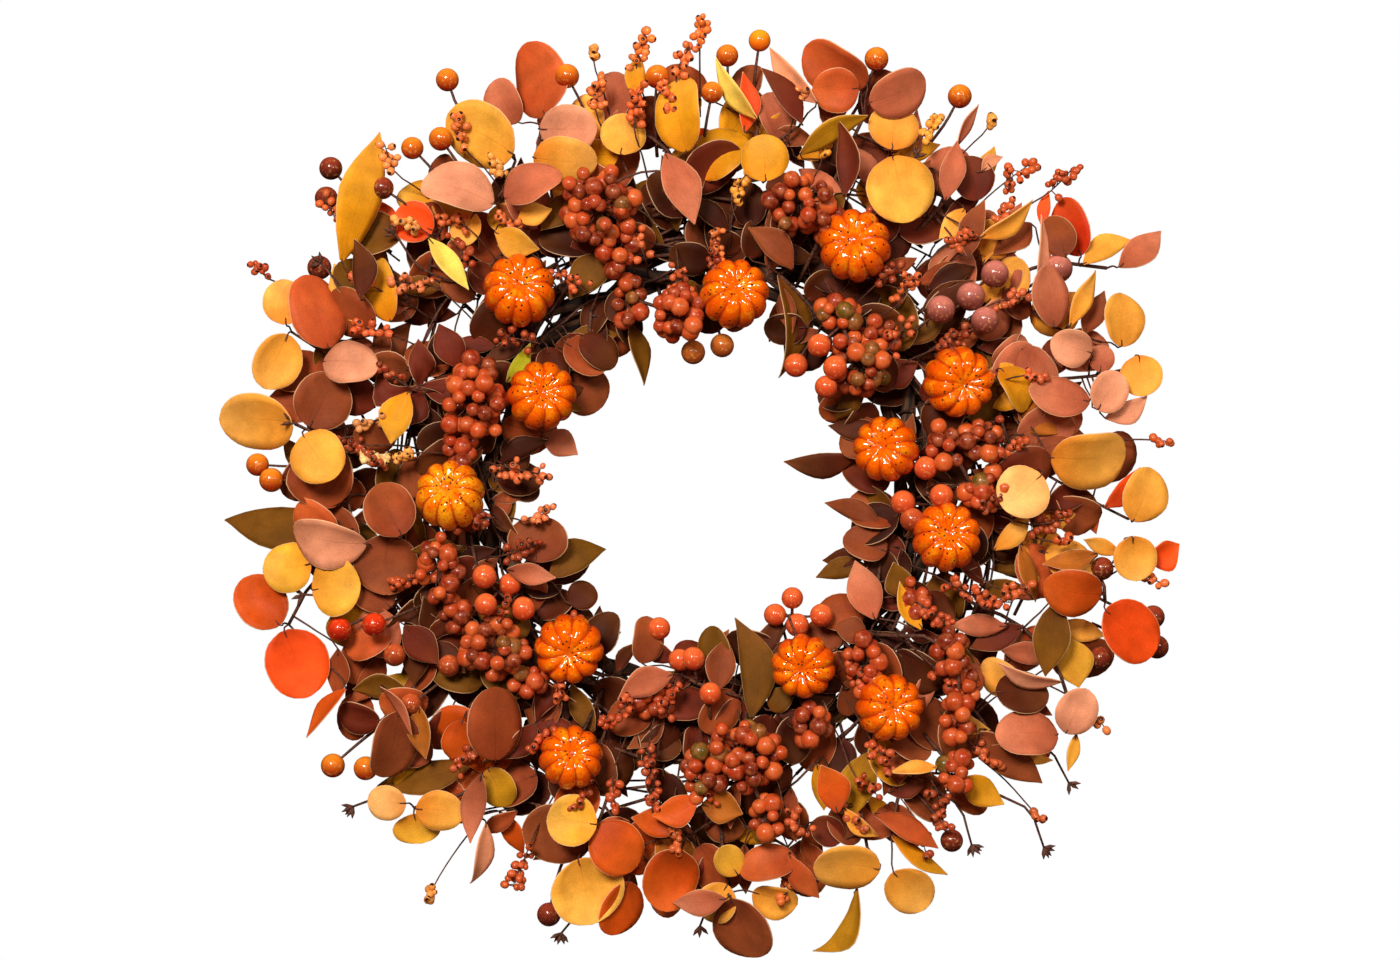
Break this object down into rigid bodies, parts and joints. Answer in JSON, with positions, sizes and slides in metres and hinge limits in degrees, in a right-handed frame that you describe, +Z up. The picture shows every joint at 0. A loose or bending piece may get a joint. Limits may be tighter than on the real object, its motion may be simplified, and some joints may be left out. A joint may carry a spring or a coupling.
{
  "type": "harvest door wreath",
  "caption": "Round grapevine door wreath covered with fabric eucalyptus leaves, foam pumpkins and berries, hung by a hinged wire loop at the back.",
  "frame": {"origin": "hook seat: the inside top of the hanging loop, where a door hook or nail carries the wreath", "axes": "+Z up along the door, +Y into the door, -Y out of the front of the wreath, +X right as seen from the front"},
  "size_m": [0.5673, 0.0847, 0.5423],
  "materials": {
    "grapevine": "matte",
    "coated_wire": "satin",
    "pumpkin_foam": "gloss",
    "berry_lacquer": "gloss",
    "rosehip_lacquer": "gloss",
    "leaf_amber": "matte",
    "leaf_orange": "matte",
    "leaf_rose": "matte",
    "leaf_brown": "matte",
    "leaf_olive": "matte"
  },
  "bodies": {
    "wreath": {"grapevine_strand_1": "grapevine", "grapevine_strand_2": "grapevine", "grapevine_strand_3": "grapevine", "grapevine_strand_4": "grapevine", "hanger_anchor": "coated_wire", "wire_band_1": "coated_wire", "wire_band_2": "coated_wire", "wire_band_3": "coated_wire", "wire_band_4": "coated_wire", "wire_band_5": "coated_wire", "pumpkin_pick_01": "pumpkin_foam", "pumpkin_pick_02": "pumpkin_foam", "pumpkin_pick_03": "pumpkin_foam", "pumpkin_pick_04": "pumpkin_foam", "pumpkin_pick_05": "pumpkin_foam", "pumpkin_pick_06": "pumpkin_foam", "pumpkin_pick_07": "pumpkin_foam", "pumpkin_pick_08": "pumpkin_foam", "pumpkin_pick_09": "pumpkin_foam", "pumpkin_pick_10": "pumpkin_foam", "pumpkin_pick_11": "pumpkin_foam", "pumpkin_pick_12": "pumpkin_foam", "spray_top": "leaf_orange", "spray_top_right": "leaf_rose", "spray_upper_right": "leaf_amber", "spray_right_upper": "leaf_rose", "spray_right_mid": "leaf_rose", "spray_right": "leaf_amber", "spray_right_low": "leaf_orange", "spray_lower_right": "leaf_olive", "spray_right_bottom": "leaf_brown", "spray_bottom_right": "leaf_amber", "spray_bottom_mid_right": "leaf_amber", "spray_bottom": "leaf_orange", "spray_bottom_left": "leaf_amber", "spray_left_bottom": "leaf_rose", "spray_lower_left": "leaf_brown", "spray_left_low": "leaf_orange", "spray_left": "leaf_amber", "spray_upper_left": "leaf_amber", "spray_top_left": "leaf_rose", "spray_top_mid_left": "leaf_amber", "spray_inner_top_left": "leaf_olive", "spray_inner_left": "leaf_brown", "spray_inner_right": "leaf_olive", "spray_inner_lower_right": "leaf_brown", "spray_inner_bottom": "leaf_brown", "berry_pick_top_right": "berry_lacquer", "berry_pick_inner_right": "berry_lacquer", "berry_pick_right": "berry_lacquer", "berry_pick_lower_right": "berry_lacquer", "berry_pick_bottom": "berry_lacquer", "berry_pick_lower_left": "berry_lacquer", "berry_pick_left": "berry_lacquer", "berry_pick_upper_left": "berry_lacquer", "berry_pick_top_left": "berry_lacquer", "berry_pick_top": "berry_lacquer", "rosehip_pick_left": "rosehip_lacquer", "rosehip_pick_bottom": "rosehip_lacquer"},
    "hanger": {"hanging_loop": "coated_wire"}
  },
  "joints": [
    {"name": "hanger_swing", "type": "hinge", "parent": "wreath", "child": "hanger", "pos_m": [0, 0, -0.03], "axis": [-1, 0, 0], "range_deg": [-15, 135]}
  ]
}
